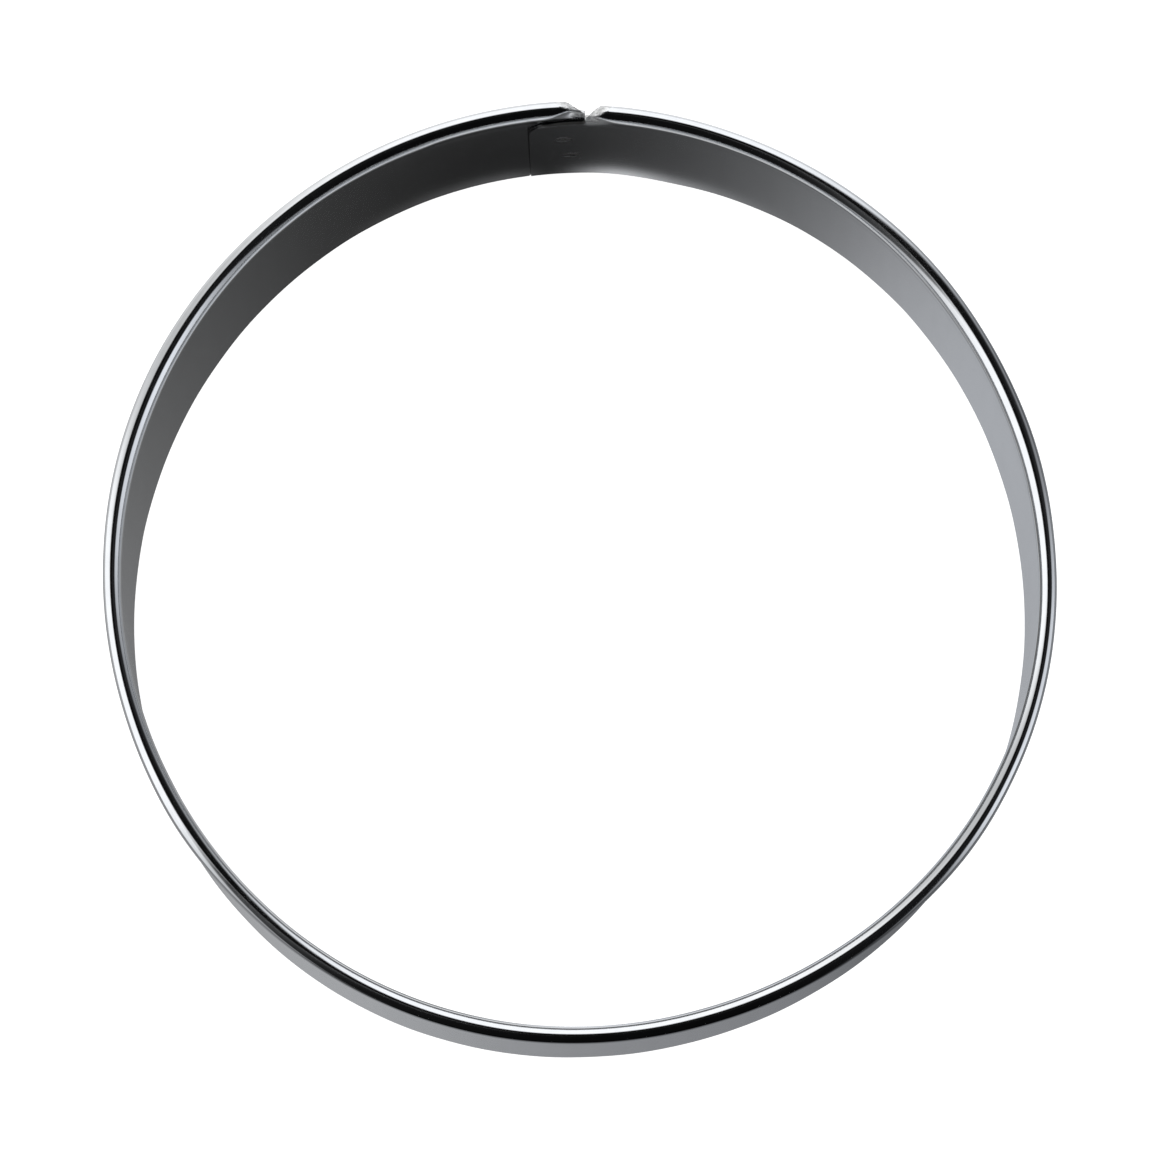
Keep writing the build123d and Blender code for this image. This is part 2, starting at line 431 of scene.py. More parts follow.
def tongue_outline(along, up, strip):
    """Draws the top of the tongue down to its sloping edge and its round corner.

    Up to the top, heights shrink in step with the edge's fall. In the corner's square, with
    a and b as shares of its reach from its centre, a becomes a times the root of one minus
    half of b squared, and b likewise.
    """
    s = strip.sheet
    past = np.clip((along - strip.closed) / s.lap, 0, 1)
    still = strip.tongue_top - STILL_CORNERS * s.tongue_corner
    share_up = np.clip((up - still) / (strip.tongue_top - still), 0, 1)
    is_tongue = along > strip.hem_end
    up = np.where(is_tongue, up - s.tongue_fall * past * share_up, up)
    centre_along = strip.end - s.tongue_corner
    centre_up = strip.tongue_top - s.tongue_fall * past - s.tongue_drop
    a = (along - centre_along) / s.tongue_corner
    b = (up - centre_up) / s.tongue_drop
    inside = (a > 0) & (b > 0)
    a, b = np.clip(a, 0, 1), np.clip(b, 0, 1)
    round_a = a * np.sqrt(1 - b * b / 2)
    round_b = b * np.sqrt(1 - a * a / 2)
    along = np.where(inside, centre_along + s.tongue_corner * round_a, along)
    up = np.where(inside, centre_up + s.tongue_drop * round_b, up)
    return along, up


def ragged(places, seed):
    """A ragged line of about -1 to 1: sines, each shorter and lower than the one before."""
    total = np.zeros_like(places)
    for term in range(1, RAG_WAVES + 1):
        total += np.sin(places / MM * RAG_PITCH * term + seed * term * RAG_SHIFT) / term
    return total / 2


def lean_out(out, height, roll, along, strip):
    """Leans the wall's top out beside the notch, in an even slope that the hem rises out of.

    It grows with the height as its square times two minus itself and fades along the strip
    as a bell curve. The further out of sheet and lean counts: half of their sum plus the root
    of their difference squared plus the softness squared.
    """
    s = strip.sheet
    to_inner_end = strip.closed - along
    left = np.exp(-((np.clip(along, 0, None) / s.reach_left) ** FLARE_POWERS[0]))
    right = np.exp(-((to_inner_end / s.reach_right) ** FLARE_POWERS[1]))
    right = np.where(to_inner_end < 0, 0, s.flare_right * right)
    lean_from = s.height - s.flare_depth
    risen = np.clip((height - lean_from) / s.flare_rise, 0, 1)
    lean = (s.flare_left * left + right) * risen ** 2 * (2 - risen)
    soft = s.flare_soft * smooth((height - lean_from) / s.flare_soft) * (lean > 0)
    higher = (out + lean + np.sqrt((out - lean) ** 2 + soft ** 2)) / 2
    return np.where(roll < 2 * QUARTER, higher, out)


def strip_surface(strip):
    """Middle surface of the finished strip, its masks, and the cells of its grid.

    Each place gets its section of wall or hem, and more at the hem's strays. The hem is moved
    to start at the notch's flank and crushed there, the wall's top leans out, and outline and
    ripples are added. The torn mask falls from 1 at a flank to 0, the lap mask is 1 on the
    tongue and on the edge under the notch, and the hem mask where the sheet is rolled.
    """
    s = strip.sheet
    along, up, cells = strip_grid(strip)
    along, up = tongue_outline(along, up, strip)
    out, height, roll = strip.section(up)
    on_tongue = along > strip.hem_end
    out = np.where(on_tongue, 0, out)
    height = np.where(on_tongue, up, height)
    is_hem = (roll > 0) & ~on_tongue
    turn = np.degrees(strip.turn_at(along))
    for middle, spread, far in HEM_STRAYS:
        stray = far * MM * np.exp(-(((turn - middle) / spread) ** 2))
        out = out + stray * np.clip(out / s.hem_width, 0, 1) ** 2

    # The notch's flank: the further out, the further from the join
    floor = strip.half + s.notch_floor
    depth = np.clip((out - floor) / (s.hem_width - strip.half - floor), 0, 1)
    after, before, to_flanks = along, strip.hem_end - along, []
    for flank, away, sign in ((s.notch_left, after, 1), (s.notch_right, before, -1)):
        rag = s.burr * ragged(roll * strip.hem_out, sign) * smooth(depth * RAG_RISE)
        push = (flank * depth + rag) * (1 - np.clip(away / NOTCH_FADE, 0, 1))
        along = along + sign * np.where(is_hem, push, 0)
        to_flanks.append(away * (1 - flank * depth / NOTCH_FADE))

    # The hem is crushed where the notch was cut through it
    from_flank = np.minimum(*to_flanks)
    crushed = s.crimp * (1 - smooth(from_flank / s.crimp_reach))
    squeezed = strip.hem_centre + (height - strip.hem_centre) * (1 - crushed)
    height = np.where(is_hem, squeezed, height)
    torn = 1 - smooth(from_flank / (TORN_REACH * s.crimp_reach))
    torn = torn * smooth((up - strip.hem_start) / TORN_FALL + 1) * ~on_tongue
    root = (before < ROOT_EDGE) & (depth == 0)

    out = lean_out(out, height, roll, along, strip)

    # The whole ring is a little out of round, and the wall ripples faintly off the join
    ripple = sum(
        weight * np.sin(along / strip.radius * count + start + shift * height / s.height)
        for count, start, shift, weight in RIPPLES
    ) / sum(weight for *_, weight in RIPPLES)
    from_join = np.minimum(along, np.abs(strip.closed - along))
    free = smooth((from_join - RIPPLE_STILL) / RIPPLE_FADE) * np.where(is_hem, HEM_RIPPLE, 1)
    out = out + strip.bulge(strip.turn_at(along), height) + free * s.ripple * ripple
    point, outward = strip.line(along)
    place = np.dstack([point + outward * out[..., None], height])
    masks = {
        "torn": torn,
        "lap": (on_tongue | root).astype(float),
        "hem": smooth((roll - POLISH_FROM) / POLISH_OVER),
        "heat": heat_mask(along, height, strip),
    }
    return place, cells, masks, np.stack([along, up], -1)


def heat_mask(along, height, strip):
    """How much each place was heated: it falls off as a bell curve round each weld."""
    heat = np.zeros_like(along)
    for _, spots, up in strip.weld_places():
        for spot in spots:
            away = np.hypot(along - spot, height - up)
            heat = np.maximum(heat, np.exp(-((away / strip.welds.heat_reach) ** 2)))
    return heat


def new_object(name, data):
    """An object for a mesh, lamp or camera, linked into the scene."""
    made = bpy.data.objects.new(name, data)
    bpy.context.scene.collection.objects.link(made)
    return made


def grid_object(name, place, cells, masks, flat, material):
    """A mesh object from a grid of places and the cells to use, with its masks and its map.

    Each cell is one quad, wound so that it faces away from the ring's axis. The map holds
    the place along the strip and up the sheet in metres.
    """
    rows, columns = place.shape[:2]
    number = np.arange(rows * columns).reshape(rows, columns)
    quads = [number[:-1, :-1], number[1:, :-1], number[1:, 1:], number[:-1, 1:]]
    used, quads = np.unique(np.stack(quads, -1)[cells], return_inverse=True)
    quads = quads.reshape(-1, 4)
    mesh = bpy.data.meshes.new(name)
    mesh.from_pydata(place.reshape(-1, 3)[used], [], quads)
    for mask, values in masks.items():
        layer = mesh.attributes.new(mask, "FLOAT", "POINT")
        layer.data.foreach_set("value", values.reshape(-1)[used].astype(np.float32))
    corners = flat.reshape(-1, 2)[used][quads.reshape(-1)]
    sheet_map = mesh.uv_layers.new(name="sheet")
    sheet_map.data.foreach_set("uv", corners.astype(np.float32).reshape(-1))
    mesh.shade_smooth()
    mesh.materials.append(material)
    return new_object(name, mesh)


class Nodes:
    """A short way to lay out the nodes of a material or of the world."""

    def __init__(self, owner, output="ShaderNodeOutputMaterial"):
        owner.use_nodes = True
        self.owner = owner
        self.tree = owner.node_tree
        self.tree.nodes.clear()
        self.output = self.tree.nodes.new(output)

    def add(self, kind, inputs=None, **settings):
        """A node with its settings, its inputs linked from sockets or set to values."""
        node = self.tree.nodes.new(kind)
        for key, value in settings.items():
            setattr(node, key, value)
        for key, value in (inputs or {}).items():
            if isinstance(value, bpy.types.NodeSocket):
                self.tree.links.new(value, node.inputs[key])
            else:
                node.inputs[key].default_value = value
        return node

    def noise(self, vector, scale, detail=3.0, roughness=0.5):
        """Noise about 0.5, at so many features per metre, or at so many along each axis."""
        if isinstance(scale, tuple):
            mapping = self.add("ShaderNodeMapping", {"Vector": vector, "Scale": scale})
            vector, scale = mapping.outputs["Vector"], 1.0
        inputs = {"Vector": vector, "Scale": scale, "Detail": detail, "Roughness": roughness}
        return self.add("ShaderNodeTexNoise", inputs).outputs["Fac"]

    def span(self, *values):
        """A value carried from a low and high to another low and high, held at its ends."""
        return self.add("ShaderNodeMapRange", dict(enumerate(values))).outputs["Result"]

    def spread(self, noise, to_low, to_high):
        """A noise carried from its own range to another."""
        return self.span(noise, *NOISE_RANGE, to_low, to_high)

    def math(self, operation, *values):
        """Two values added, multiplied or otherwise combined."""
        return self.add("ShaderNodeMath", dict(enumerate(values)), operation=operation).outputs[0]

    def blend(self, amount, first, second):
        """A colour between two. The Mix node's colours are its inputs 6 and 7 and output 2."""
        inputs = {0: amount, 6: first, 7: second}
        return self.add("ShaderNodeMix", inputs, data_type="RGBA").outputs[2]

    def mask(self, name):
        """A value that the mesh carries at its points."""
        return self.add("ShaderNodeAttribute", attribute_name=name).outputs["Fac"]

    def bump(self, height, strength, distance, **normal):
        """A normal that follows a height, on top of another normal if one is given."""
        inputs = {"Height": height, "Strength": strength, "Distance": distance, **normal}
        return self.add("ShaderNodeBump", inputs).outputs["Normal"]

    def seen(self):
        """1 for rays from the camera, off mirrors and through glass, and 0 for the others."""
        path = self.add("ShaderNodeLightPath")
        seen = self.math("MAXIMUM", path.outputs["Is Camera Ray"], path.outputs["Is Glossy Ray"])
        return self.math("MAXIMUM", seen, path.outputs["Is Transmission Ray"])

    def finish(self, shader):
        """Joins the shader to the output."""
        self.tree.links.new(shader.outputs[0], self.output.inputs["Surface"])
        return self.owner

    def metal(self, tone, gloss, normal):
        """Finishes as a metal with a colour, a roughness and a normal."""
        inputs = {"Base Color": tone, "Metallic": 1.0, "Roughness": gloss, "Normal": normal}
        return self.finish(self.add("ShaderNodeBsdfPrincipled", inputs))


def rgba(value, part=1.0):
    """A part of a colour's brightness, with full opacity."""
    return (*(c * part for c in value), 1.0)


def sheet_steel(finish):
    """Bright cold-rolled steel: satin wall with a faint grain, hem polished by the rollers.

    Grain runs along the strip and soft streaks up it. The torn mask gives the cut ends coarse
    facets, and the heat mask leaves a straw tint.
    """
    n = Nodes(bpy.data.materials.new("rolled_sheet_steel"))
    sheet = n.add("ShaderNodeUVMap", uv_map="sheet").outputs["UV"]
    solid = n.add("ShaderNodeTexCoord").outputs["Object"]
    grain = n.noise(sheet, GRAIN, detail=4, roughness=0.6)
    streaks = n.noise(sheet, STREAKS, detail=2)
    cloud = n.noise(solid, CLOUD)
    smudge = n.noise(solid, SMUDGE, detail=5, roughness=0.65)
    facets = n.noise(solid, FACETS, roughness=0.7)
    hem, torn, heat = n.mask("hem"), n.mask("torn"), n.mask("heat")

    satin = n.spread(cloud, finish.wall_gloss - 0.01, finish.wall_gloss + 0.01)
    satin = n.math("ADD", satin, n.spread(grain, -0.02, 0.02))
    satin = n.math("MULTIPLY", satin, n.span(hem, 0, 1, 1, 0))
    polish = n.span(smudge, 0.35, 0.75, finish.hem_gloss - 0.02, finish.hem_gloss + 0.05)
    gloss = n.math("ADD", satin, n.math("MULTIPLY", polish, hem))
    coarse = n.span(torn, 0.15, 0.7, 0, finish.cut_gloss - finish.hem_gloss)
    gloss = n.math("ADD", gloss, coarse)

    tone = n.blend(n.spread(cloud, 0, 1), rgba(finish.steel, 0.985), rgba(finish.steel))
    tone = n.blend(n.span(streaks, 0.4, 0.7, 0, 0.45), tone, rgba(finish.steel, 0.90))
    tone = n.blend(n.span(heat, 0.25, 1, 0, 0.10), tone, rgba(finish.straw))
    bruise = n.blend(n.span(facets, 0.35, 0.65, 0, 1), rgba(finish.cut, 0.5), rgba(finish.cut))
    tone = n.blend(n.span(torn, 0.15, 0.5, 0, 1), tone, bruise)

    rough = n.math("MULTIPLY", facets, n.span(torn, 0.15, 0.6, 0, 1))
    fine = n.bump(grain, 0.05, 0.01 * MM)
    return n.metal(tone, gloss, n.bump(rough, 1.0, 0.08 * MM, Normal=fine))


def cut_steel(finish):
    """The sheared edge of the sheet, with the fine drag lines of the blade.

    It is bright where it is torn and dark in the shade of the lap.
    """
    n = Nodes(bpy.data.materials.new("sheared_edge_steel"))
    solid = n.add("ShaderNodeTexCoord").outputs["Object"]
    drag = n.noise(solid, DRAG, roughness=0.6)
    torn = n.span(n.mask("torn"), 0.3, 0.8, 0, 1)
    # Where it isn't torn the sheared edge is darker, half to 0.62 of the cut metal's colour
    cut_edges = n.blend(drag, rgba(finish.cut, 0.5), rgba(finish.cut, 0.62))
    tone = n.blend(torn, cut_edges, rgba(finish.cut))
    tone = n.blend(n.mask("lap"), tone, rgba(finish.cut, 0.05))
    gloss = n.span(torn, 0, 1, 0.13, finish.cut_gloss)
    return n.metal(tone, gloss, n.bump(drag, 0.2, 0.01 * MM))


def weld_steel(finish):
    """The pressed face of a spot weld: duller, a little dark, with a mottled bloom."""
    n = Nodes(bpy.data.materials.new("spot_weld_steel"))
    solid = n.add("ShaderNodeTexCoord").outputs["Object"]
    bloom = n.noise(solid, BLOOM, detail=4, roughness=0.6)
    pits = n.noise(solid, PITS, detail=2)
    tone = n.blend(bloom, rgba(finish.weld, 0.90), rgba(finish.weld))
    return n.metal(tone, n.spread(bloom, 0.24, 0.32), n.bump(pits, 0.4, 0.02 * MM))


def settings():
    """The scene's property groups: sheet, welds, finish and studio."""
    return [getattr(bpy.context.scene, name) for name in GROUPS]


class CUTTER_OT_rolled_band(bpy.types.Operator):
    """Make the strip: wall, rolled hem, notch and tongue, as one sheet of steel"""

    bl_idname = "cutter.rolled_band"
    bl_label = "Rolled band"

    def execute(self, context):
        sheet, welds, finish, _ = settings()
        surface = strip_surface(Strip(sheet, welds))
        piece = grid_object("rolled_band", *surface, sheet_steel(finish))
        piece.data.materials.append(cut_steel(finish))
        thick = piece.modifiers.new("Sheet thickness", "SOLIDIFY")
        thick.thickness = sheet.thickness
        thick.offset = 0
        thick.material_offset_rim = 1
        cut_edges = piece.modifiers.new("Worn edges", "BEVEL")
        cut_edges.width = sheet.edge_round
        cut_edges.segments = 2
        cut_edges.limit_method = "ANGLE"
        cut_edges.angle_limit = WORN_ANGLE
        cut_edges.use_clamp_overlap = False
        cut_edges.harden_normals = True
        joined = piece.modifiers.new("Joined points", "WELD")
        joined.merge_threshold = JOINED_GAP
        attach(piece, "root")
        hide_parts("band")
        return {"FINISHED"}


def weld_nugget(strip, spot, height, rings=24, sides=64):
    """Places of a spot weld through both layers of the lap, in loops round its axis.

    The profile runs out over a dimple, whose depth falls as one minus the distance from the
    axis squared, and a low lip, then through the sheet to the same on the other face. Both
    follow the ring's bulge and its round, by the distance sideways squared over twice the
    radius.
    """
    radius = strip.welds.diameter / 2
    share_out = np.linspace(0, 1, rings)
    hollow = -strip.welds.dimple * np.clip(1 - (share_out / DIMPLE_END) ** 2, 0, 1)
    raised = LIP_HEIGHT * np.exp(-(((share_out - LIP_PLACE) / LIP_WIDTH) ** 2))
    face = hollow + raised - RIM_FALL * smooth((share_out - RIM_FROM) / (1 - RIM_FROM))
    half_lap = (strip.step + strip.sheet.thickness) / 2
    across = np.concatenate([share_out, share_out[::-1]]) * radius * WELD_FIT
    through = np.concatenate([half_lap + face, -(half_lap + face)[::-1]])
    turn = np.arange(sides) / sides * FULL
    angle_at = QUARTER + spot / strip.radius
    middle = strip.radius - strip.step / 2
    out = np.array([math.cos(angle_at), math.sin(angle_at), 0])
    side = np.array([-out[1], out[0], 0])
    rise = np.array([0, 0, 1.0])
    sideways = across[:, None] * np.cos(turn)
    upwards = height + across[:, None] * np.sin(turn)
    outwards = (middle + through)[:, None] - sideways ** 2 / (2 * middle)
    outwards = outwards + strip.bulge(-(spot + sideways) / strip.radius, upwards)
    parts = ((side, sideways), (rise, upwards), (out, outwards))
    return sum(direction * amount[..., None] for direction, amount in parts)


def loops_object(name, loops, material):
    """A closed mesh object from loops of places: quads between them, a fan at each end.

    Of the first and of the last loop one point is used, as the middle of a fan.
    """
    count, sides = loops.shape[:2]
    points = np.concatenate([loops[1:-1].reshape(-1, 3), loops[0, :1], loops[-1, :1]])
    number = np.arange((count - 2) * sides).reshape(count - 2, sides)
    after = np.roll(number, -1, axis=1)
    quads = np.stack([number[:-1], number[1:], after[1:], after[:-1]], -1).reshape(-1, 4)
    first, last = len(points) - 2, len(points) - 1
    caps = np.stack([np.full(sides, first), number[0], after[0]], -1)
    tail = np.stack([np.full(sides, last), after[-1], number[-1]], -1)
    mesh = bpy.data.meshes.new(name)
    mesh.from_pydata(points, [], quads.tolist() + caps.tolist() + tail.tolist())
    mesh.shade_smooth()
    mesh.materials.append(material)
    return new_object(name, mesh)


class CUTTER_OT_spot_welds(bpy.types.Operator):
    """Make the two spot welds that hold the lap"""

    bl_idname = "cutter.spot_welds"
    bl_label = "Spot welds"

    def execute(self, context):
        sheet, welds, finish, _ = settings()
        strip = Strip(sheet, welds)
        material = weld_steel(finish)
        for name, spots, height in strip.weld_places():
            loops = weld_nugget(strip, spots[0], height)
            piece = loops_object(f"{name}_weld", loops, material)
            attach(piece, "root")
            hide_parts(f"spot_weld_{name}")
        return {"FINISHED"}


# Floor and the cards at the foot, both just below the cutting edge
FLOOR_HEIGHT, CARD_HEIGHT = -0.06 * MM, -0.03 * MM
FLOOR_REACH, WHITE = 3.0, (1.0, 1.0, 1.0)
# Parts of the floor's tone: glow and reflection where it is seen, and reflection elsewhere
GLOW_PART, LIT_PART, PLAIN_PART = 0.84, 0.5, 0.8
# Each softbox: where it stands, and how wide and high it is
SOFTBOXES = {
    "softbox_back": ((0.0, 1.25, 0.42), (1.9, 0.9)),
    "softbox_left": ((-1.25, 0.1, 0.62), (1.4, 0.8)),
    "softbox_right": ((1.25, 0.1, 0.62), (1.4, 0.8)),
}
# The camera's sensor in millimetres, and the nearest and the farthest that it sees
SENSOR, CLIP = 36, (0.01, 20)
# Painted reflection: a glowing dome that only mirrors see, which lights nothing
# The dome's radius, and how far down it reaches, from overhead
DOME_RADIUS, DOME_LOW = 3.0, math.radians(92)
# Where the dark top of the dome ends, in degrees from overhead, by the turn from +Y
DARK_EDGE = (
    (-180, 125), (-152, 104), (-139, 86), (-127, 62), (-113, 30), (-98, 14), (-70, 16),
    (-45, 27), (0, 25), (20, 29), (31, 52), (41, 74), (52, 74), (62, 58), (74, 46), (90, 37),
    (98, 37), (115, 40), (126, 62), (136, 90), (160, 120),
)
# Degrees over which that dark fades into the light below it, and its brightness
DARK_FADE = ((-180, 12), (-120, 14), (24, 12), (38, 44), (56, 40), (70, 14))
PAINTED_DARK_TONE = (
    (-180, 0.004), (-142, 0.01), (-124, 0.09), (-105, 0.05), (-85, 0.02), (-55, 0.004),
    (42, 0.006), (62, 0.03), (80, 0.012), (110, 0.012), (135, 0.008), (150, 0.004),
)
# Painted light of the dome below the dark, 1 being the floor's white
PAINTED_DOME_LIGHT = (
    (-180, 1.4), (-150, 1.1), (-142, 0.45), (-132, 0.36), (-122, 0.9), (-112, 1.4), (-70, 1.4),
    (-58, 0.72), (-40, 0.72), (-26, 1.4), (22, 1.4), (38, 0.85), (48, 0.52), (60, 0.26),
    (72, 0.45), (82, 0.95), (94, 0.95), (108, 1.3), (118, 0.65), (128, 0.2), (142, 0.16),
    (152, 1.1),
)
# Painted shade and light of the floor inside the ring, as the steel mirrors it, beside the wall and
# away from it
INNER_PAINTED_SHADE = (
    (-178, 1.2), (-160, 0.75), (-140, 1.1), (-122, 1), (-108, 0.24), (-90, 0.2), (-60, 0.11),
    (-45, 0.072), (-30, 0.034), (-12, 0.016), (4, 0.03), (20, 0.11), (30, 0.2), (45, 0.43),
    (60, 0.5), (104, 0.46), (122, 1), (136, 0.8), (155, 1.1), (172, 1.2),
)
MIDDLE_PAINTED_SHADE = (
    (-180, 1), (-172, 0.8), (-162, 0.22), (-140, 0.3), (-115, 0.6), (-100, 0.36), (-45, 0.17),
    (-15, 0.21), (20, 0.11), (45, 0.36), (90, 0.6), (115, 0.6), (135, 0.28), (164, 0.4),
    (174, 0.8),
)
# How far from the wall the first of them reach, and from where on there are only the second
NEAR_REACH, MIDDLE_REACH = 7 * MM, 15 * MM
# Radius of the painted white spot of light in the middle, and the stretch over which it fades
CENTRE_LIGHT, CENTRE_FADE = 4.5 * MM, 6 * MM
# Painted light at the foot, on the inner card that only mirrors see: how strong, how far it
# reaches, and the degrees round the ring over which it changes softly
PAINTED_FOOT_LIGHT = (
    (-34, 0), (-16, 0.07), (-8, 0.1), (-6.5, 0), (-4, 0), (-1, 0.1), (3, 0.6), (6, 0.55),
    (10, 0.32), (16, 0.15), (28, 0),
)
FOOT_LIGHT_REACH, FOOT_LIGHT_SPREAD = 1.05 * MM, 2
# Painted shade and light of the floor outside the ring, as the steel mirrors it, beside the wall
# and away from it
OUTER_PAINTED_SHADE = (
    (-180, 0.32), (-150, 0.46), (-90, 0.36), (-30, 0.95), (24, 0.95), (42, 0.4), (75, 0.26),
    (120, 0.31), (135, 0.15), (150, 0.26),
)
FAR_PAINTED_SHADE = (
    (-150, 0), (-134, 0.3), (-118, 0.25), (-90, 0.6), (-30, 1), (24, 1), (36, 0.52), (46, 0.42),
    (54, 0.1), (66, 0.12), (78, 0.36), (110, 0.18), (128, 0.14), (145, 0),
)
# How far from the wall the outer card reaches, and shares after and over which it changes
OUTER_REACH, FAR_FROM, FAR_OVER = 2900 * MM, 0.154, 0.16
# A faint cool tint painted into the light of the mirrored cards, and how much of it there is, by
# the turn from +Y
COOL = (0.91, 0.94, 1.0)
COOL_SIDE = ((-180, 0.7), (-100, 0.3), (-30, 0.1), (20, 0.5), (60, 1.0), (120, 1.0))


def lit_floor():
    """A pale floor that cameras and mirrors see white, and that still takes a shadow."""
    n = Nodes(bpy.data.materials.new("studio_floor"))
    glow = n.add("ShaderNodeEmission", {"Color": rgba(WHITE), "Strength": GLOW_PART})
    paper = n.add("ShaderNodeBsdfDiffuse", {"Color": rgba(WHITE, LIT_PART)})
    both = n.add("ShaderNodeAddShader", {0: glow.outputs[0], 1: paper.outputs[0]})
    plain = n.add("ShaderNodeBsdfDiffuse", {"Color": rgba(WHITE, PLAIN_PART)})
    inputs = {0: n.seen(), 1: plain.outputs[0], 2: both.outputs[0]}
    return n.finish(n.add("ShaderNodeMixShader", inputs))


def card(name, points, faces, tones):
    """A card that only mirrors see, which glows with a tone at each corner of its mesh: painted
    reflection, which lights nothing.
    """
    mesh = bpy.data.meshes.new(name)
    mesh.from_pydata(points, [], faces)
    layer = mesh.attributes.new("tone", "FLOAT_COLOR", "POINT")
    layer.data.foreach_set("color", np.asarray(tones, np.float32).reshape(-1))
    n = Nodes(bpy.data.materials.new(name))
    tone = n.add("ShaderNodeAttribute", attribute_name="tone").outputs["Color"]
    mesh.materials.append(n.finish(n.add("ShaderNodeEmission", {"Color": tone})))
    piece = new_object(name, mesh)
    for rays in ("camera", "diffuse", "transmission", "shadow"):
        setattr(piece, f"visible_{rays}", False)


def between(turn, stops, spread=6):
    """A value that changes softly from stop to stop round the ring, stops in degrees.

    It is the mean of the straight lines between the stops over a few places to each side.
    """
    places, values = zip(*stops)
    sides = [np.degrees(turn) + spread * away for away in (-1, -0.5, 0, 0.5, 1)]
    return sum(np.interp(side, places, values, period=360) for side in sides) / len(sides)


def ring_card(name, point, tone, steps, turns=361):
    """A card whose points and tones are functions of the turn from +Y and of a share out.

    The tones get the painted cool tint of their side.
    """
    turn, out = np.meshgrid(np.linspace(-math.pi, math.pi, turns), np.linspace(0, 1, steps))
    radius, height = point(turn, out)
    points = np.dstack([radius * np.sin(turn), radius * np.cos(turn), height + 0 * turn])
    number = np.arange(turn.size).reshape(turn.shape)
    faces = np.stack([number[:-1, :-1], number[:-1, 1:], number[1:, 1:], number[1:, :-1]], -1)
    cool = 1 + (np.append(COOL, 1.0) - 1) * between(turn, COOL_SIDE).reshape(-1, 1)
    tones = tone(turn, out).reshape(-1, 1) * cool
    card(name, points.reshape(-1, 3), faces.reshape(-1, 4), tones)


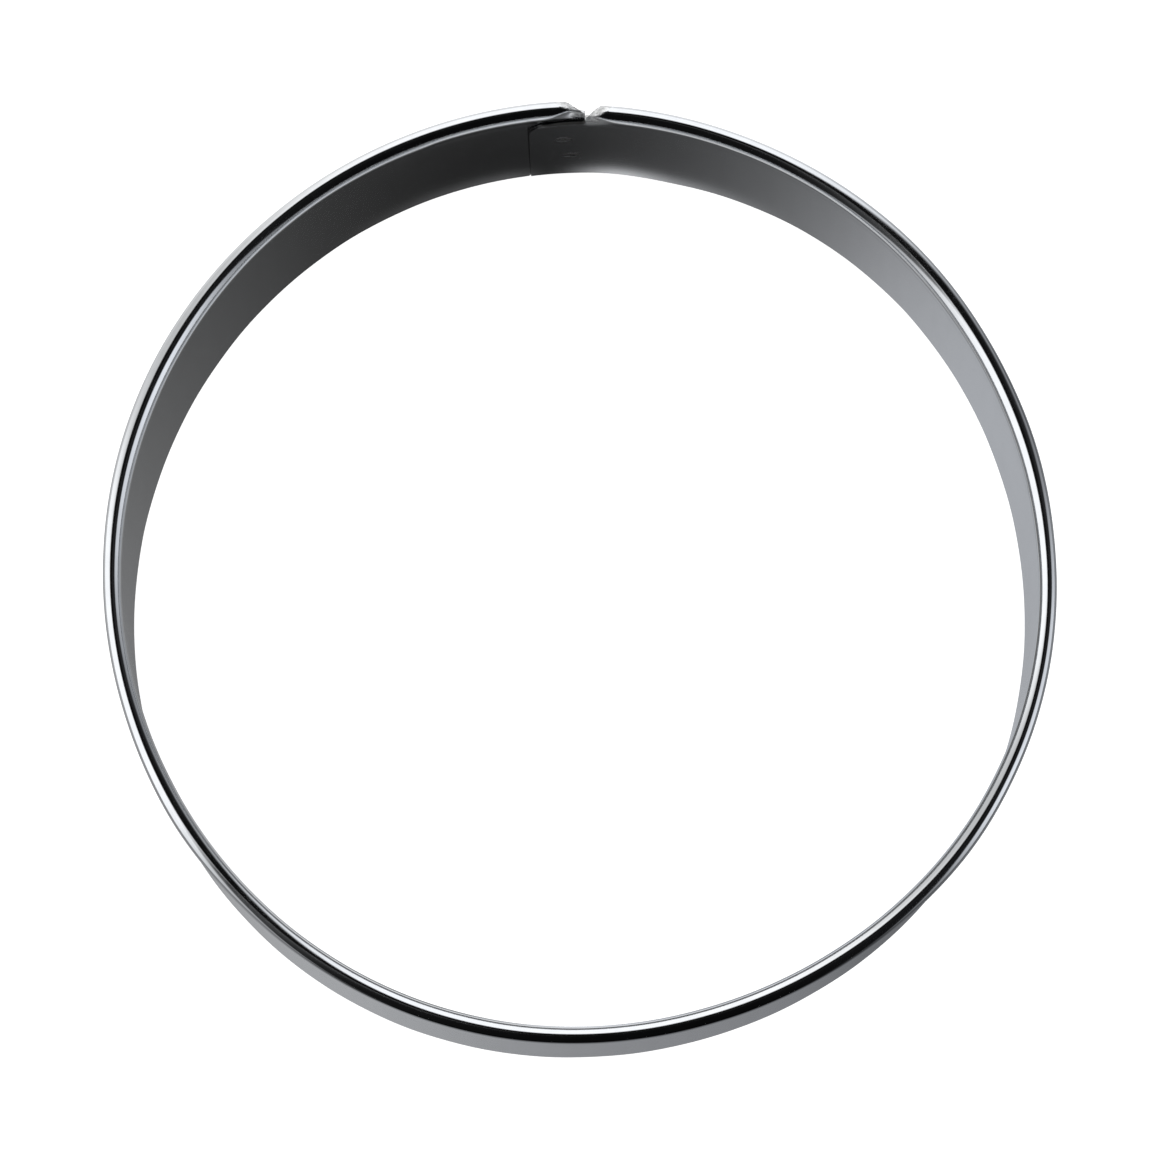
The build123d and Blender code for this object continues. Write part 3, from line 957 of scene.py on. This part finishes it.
class CUTTER_OT_studio(bpy.types.Operator):
    """Make the floor, the soft light, the cards that the steel mirrors and the camera"""

    bl_idname = "cutter.studio"
    bl_label = "Studio"

    def execute(self, context):
        sheet, welds, _, studio = settings()
        self.floor()
        self.world(context.scene, studio)
        self.softboxes(studio)
        self.cards(Strip(sheet, welds))
        self.camera(context.scene, studio)
        context.scene.view_settings.view_transform = "Standard"
        return {"FINISHED"}

    def floor(self):
        """A wide pale floor just under the cutting edge."""
        mesh = bpy.data.meshes.new("studio_floor")
        corners = [(-1, -1), (1, -1), (1, 1), (-1, 1)]
        points = [(x * FLOOR_REACH, y * FLOOR_REACH, FLOOR_HEIGHT) for x, y in corners]
        mesh.from_pydata(points, [], [(0, 1, 2, 3)])
        mesh.materials.append(lit_floor())
        new_object("studio_floor", mesh)

    def world(self, scene, studio):
        """White for cameras and mirrors, and an even soft light for all else."""
        scene.world = bpy.data.worlds.new("studio_world")
        n = Nodes(scene.world, "ShaderNodeOutputWorld")
        strength = n.span(n.seen(), 0, 1, studio.daylight, 1.0)
        inputs = {"Color": rgba(WHITE), "Strength": strength}
        n.finish(n.add("ShaderNodeBackground", inputs))

    def softboxes(self, studio):
        """Softboxes behind the ring and on each side. Radiance times pi times area is power."""
        for name, (place, (wide, high)) in SOFTBOXES.items():
            lamp = bpy.data.lights.new(name, "AREA")
            lamp.shape = "RECTANGLE"
            lamp.size, lamp.size_y = wide, high
            lamp.energy = studio.softbox * math.pi * wide * high
            holder = new_object(name, lamp)
            holder.location = place
            holder.rotation_euler = (Vector() - Vector(place)).to_track_quat("-Z", "Y").to_euler()
            holder.visible_glossy = False

    def cards(self, strip):
        """What the steel mirrors, all painted reflection: a dome round everything, and two cards at
        the foot that paint the floor's shade.

        The dome is dark on top and light below. The inner card ends in the middle in a spot
        of light. The distances from the wall grow with the cube of the share on both cards,
        counted from the middle on the inner one.
        """

        def dome(turn, out):
            return DOME_RADIUS * np.sin(out * DOME_LOW), DOME_RADIUS * np.cos(out * DOME_LOW)

        # Painted reflection: dark on top, painted light below
        def dome_painted_light(turn, out):
            past = np.degrees(out * DOME_LOW) - between(turn, DARK_EDGE)
            lit = smooth(past / between(turn, DARK_FADE) + 0.5)
            return between(turn, PAINTED_DARK_TONE) * (1 - lit) + between(turn, PAINTED_DOME_LIGHT) * lit

        def from_wall(turn, out):
            return strip.inner_face(turn) * (1 - out) ** 3

        def inner(turn, out):
            return strip.inner_face(turn) - from_wall(turn, out), CARD_HEIGHT

        # Painted shade of the floor as the steel mirrors it, with painted light at the foot and in
        # the middle
        def inner_painted_shade(turn, out):
            away = from_wall(turn, out)
            past = smooth((away - NEAR_REACH) / (MIDDLE_REACH - NEAR_REACH))
            tone = between(turn, MIDDLE_PAINTED_SHADE) * past + between(turn, INNER_PAINTED_SHADE) * (1 - past)
            light = between(turn, PAINTED_FOOT_LIGHT, FOOT_LIGHT_SPREAD)
            tone = tone + light * (1 - smooth(away / FOOT_LIGHT_REACH))
            to_centre = strip.inner_face(turn) - away
            spot = 1 - smooth((to_centre - CENTRE_LIGHT) / CENTRE_FADE)
            return tone * (1 - spot) + spot

        def outer(turn, out):
            reach = strip.bulge(turn, 0) + OUTER_REACH * out ** 3
            return strip.radius + reach, CARD_HEIGHT

        # Painted shade of the floor outside the ring, as the steel mirrors it
        def outer_painted_shade(turn, out):
            near, far = between(turn, OUTER_PAINTED_SHADE), between(turn, FAR_PAINTED_SHADE)
            return near + (far - near) * smooth((out - FAR_FROM) / FAR_OVER)

        ring_card("painted_reflection_dome", dome, dome_painted_light, steps=121)
        ring_card("inner_painted_shade_card", inner, inner_painted_shade, steps=61)
        ring_card("outer_painted_shade_card", outer, outer_painted_shade, steps=81)

    def camera(self, scene, studio):
        """Camera that looks steeply down at the ring, tilted towards the join."""
        tilt, swing = studio.tilt, studio.swing
        forward = -np.array(
            [math.sin(tilt) * math.sin(swing), -math.sin(tilt) * math.cos(swing), math.cos(tilt)]
        )
        right = np.cross(forward, [0, 1, 0])
        right /= np.linalg.norm(right)
        up = np.cross(right, forward)
        place = np.array([studio.aim_right, studio.aim_up, 0]) - studio.distance * forward
        c, s = math.cos(studio.turn), math.sin(studio.turn)
        spin = np.array([[c, -s, 0], [s, c, 0], [0, 0, 1]])
        basis = Matrix((spin @ np.stack([right, up, -forward], 1)).tolist()).to_4x4()
        basis.translation = (spin @ place).tolist()
        lens = bpy.data.cameras.new("photo_camera")
        lens.lens = studio.focal
        lens.sensor_width = SENSOR
        lens.clip_start, lens.clip_end = CLIP
        scene.camera = new_object("photo_camera", lens)
        scene.camera.matrix_world = basis


class CUTTER_PT_pieces(bpy.types.Panel):
    """Lists the pieces of the cutter and its sizes"""

    bl_label = "Ring cutter"
    bl_idname = "CUTTER_PT_pieces"
    bl_space_type = "VIEW_3D"
    bl_region_type = "UI"
    bl_category = "Cutter"

    def draw(self, context):
        for operator in OPERATORS:
            self.layout.operator(operator.bl_idname)
        for group in settings():
            box = self.layout.box()
            for name in group.bl_rna.properties.keys():
                if name not in ("rna_type", "name"):
                    box.prop(group, name)


GROUPS = {
    "cutter_sheet": CutterSheet,
    "cutter_welds": CutterWelds,
    "cutter_finish": CutterFinish,
    "cutter_studio": CutterStudio,
}
OPERATORS = (CUTTER_OT_rolled_band, CUTTER_OT_spot_welds, CUTTER_OT_studio)
CLASSES = (*GROUPS.values(), *OPERATORS, CUTTER_PT_pieces)


def register():
    """Makes the classes known to Blender and gives every scene the property groups."""
    for item in CLASSES:
        bpy.utils.register_class(item)
    for name, group in GROUPS.items():
        setattr(bpy.types.Scene, name, bpy.props.PointerProperty(type=group))


def unregister():
    """Takes back what register did, in the opposite order."""
    for name in GROUPS:
        delattr(bpy.types.Scene, name)
    for item in reversed(CLASSES):
        bpy.utils.unregister_class(item)


def main():
    """Builds pieces and studio."""
    register()
    bpy.ops.cutter.rolled_band()
    bpy.ops.cutter.spot_welds()
    bpy.ops.cutter.studio()


if __name__ == "__main__":
    main()
